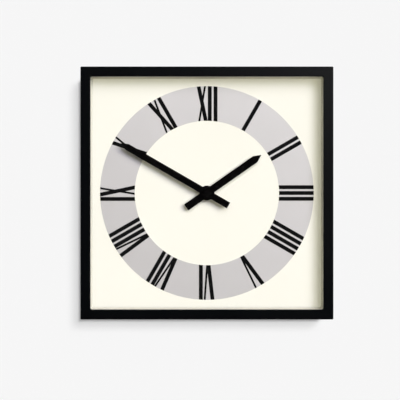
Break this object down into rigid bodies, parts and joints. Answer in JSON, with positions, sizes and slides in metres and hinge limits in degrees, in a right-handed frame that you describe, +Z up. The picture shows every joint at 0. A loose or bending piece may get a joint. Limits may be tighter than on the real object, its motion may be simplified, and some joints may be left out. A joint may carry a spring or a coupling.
{
  "type": "square wall clock",
  "caption": "Square wall clock with a slim black case, cream dial, Roman numerals on a grey ring, hour and minute hands and a battery movement.",
  "frame": {"origin": "where the wall screw bears in the hanger's keyhole slot, in the wall plane, on the clock's middle line", "axes": "+Z up, -Y out of the dial towards the viewer, +Y into the wall, +X to the right of someone reading the dial"},
  "size_m": [0.3, 0.045, 0.3],
  "materials": {
    "case_black": "satin black moulded plastic",
    "clear_glass": "clear float glass",
    "liner_cream": "matt cream plastic",
    "dial_cream": "matt cream enamel with black numerals on a grey printed ring",
    "hardboard": "smooth brown hardboard",
    "screw_steel": "zinc plated",
    "hanger_steel": "zinc plated sheet",
    "hand_black": "matt black paint",
    "movement_black": "fine textured black plastic",
    "gasket_rubber": "matt black rubber",
    "turned_brass": "turned brass",
    "gear_plastic": "natural acetal",
    "knob_plastic": "smooth off-white plastic",
    "magnet_grey": "sintered magnet",
    "spring_steel": "nickel plated sheet",
    "copper_wire": "enamelled copper wire",
    "board_green": "green lacquered circuit board",
    "battery_sleeve": "plain printed sleeve"
  },
  "bodies": {
    "case": {"case_frame": "case_black", "front_glass": "clear_glass", "spacer_liner": "liner_cream", "dial_plate": "dial_cream", "backing_board": "hardboard", "board_screw_1": "screw_steel", "board_screw_2": "screw_steel", "board_screw_3": "screw_steel", "board_screw_4": "screw_steel", "board_screw_5": "screw_steel", "board_screw_6": "screw_steel", "board_screw_7": "screw_steel", "board_screw_8": "screw_steel", "hanger_plate": "hanger_steel", "hanger_screw_1": "screw_steel", "hanger_screw_2": "screw_steel", "movement_housing": "movement_black", "movement_cover": "movement_black", "movement_gasket": "gasket_rubber", "dial_washer": "turned_brass", "hex_nut": "turned_brass", "mid_plate": "gear_plastic", "stator_plate": "spring_steel", "coil_core": "spring_steel", "coil_bobbin": "gear_plastic", "coil_winding": "copper_wire", "circuit_board": "board_green", "quartz_crystal": "screw_steel", "contact_positive": "spring_steel", "contact_negative": "spring_steel", "battery": "battery_sleeve"},
    "minute_hand": {"minute_hand": "hand_black", "hand_cap": "hand_black", "minute_arbor": "turned_brass"},
    "hour_hand": {"hour_hand": "hand_black", "hour_wheel": "gear_plastic"},
    "setting_knob": {"setting_knob": "knob_plastic", "minute_wheel": "gear_plastic"},
    "centre_wheel": {"centre_wheel": "gear_plastic"},
    "third_wheel": {"third_wheel": "gear_plastic"},
    "seconds_wheel": {"seconds_wheel": "gear_plastic"},
    "intermediate_wheel": {"intermediate_wheel": "gear_plastic"},
    "rotor": {"rotor_shaft": "gear_plastic", "rotor_magnet": "magnet_grey"}
  },
  "joints": [
    {"name": "minute_hand_spin", "type": "hinge", "parent": "case", "child": "minute_hand", "pos_m": [0, -0.028, -0.1365], "axis": [0, 1, 0], "continuous": true},
    {"name": "hour_hand_spin", "type": "hinge", "parent": "case", "child": "hour_hand", "pos_m": [0, -0.028, -0.1365], "axis": [0, 1, 0], "continuous": true},
    {"name": "setting_knob_spin", "type": "hinge", "parent": "case", "child": "setting_knob", "pos_m": [-0.00799, -0.01, -0.13048], "axis": [0, 1, 0], "continuous": true},
    {"name": "seconds_wheel_spin", "type": "hinge", "parent": "case", "child": "seconds_wheel", "pos_m": [0, -0.01, -0.1365], "axis": [0, 1, 0], "continuous": true},
    {"name": "centre_wheel_spin", "type": "hinge", "parent": "case", "child": "centre_wheel", "pos_m": [0, -0.0154, -0.1365], "axis": [0, 1, 0], "continuous": true},
    {"name": "third_wheel_spin", "type": "hinge", "parent": "case", "child": "third_wheel", "pos_m": [0.00886, -0.0127, -0.13494], "axis": [0, 1, 0], "continuous": true},
    {"name": "intermediate_wheel_spin", "type": "hinge", "parent": "case", "child": "intermediate_wheel", "pos_m": [0.00156, -0.0088, -0.12764], "axis": [0, 1, 0], "continuous": true},
    {"name": "rotor_spin", "type": "hinge", "parent": "case", "child": "rotor", "pos_m": [0.00516, -0.011, -0.11993], "axis": [0, 1, 0], "continuous": true}
  ],
  "couplings": [
    {"joint": "hour_hand_spin", "follows": "minute_hand_spin", "ratio": 0.083333},
    {"joint": "setting_knob_spin", "follows": "minute_hand_spin", "ratio": -0.33333},
    {"joint": "intermediate_wheel_spin", "follows": "rotor_spin", "ratio": -0.13333},
    {"joint": "seconds_wheel_spin", "follows": "rotor_spin", "ratio": 0.033333},
    {"joint": "third_wheel_spin", "follows": "rotor_spin", "ratio": -0.0044444},
    {"joint": "centre_wheel_spin", "follows": "rotor_spin", "ratio": 0.00055556}
  ]
}
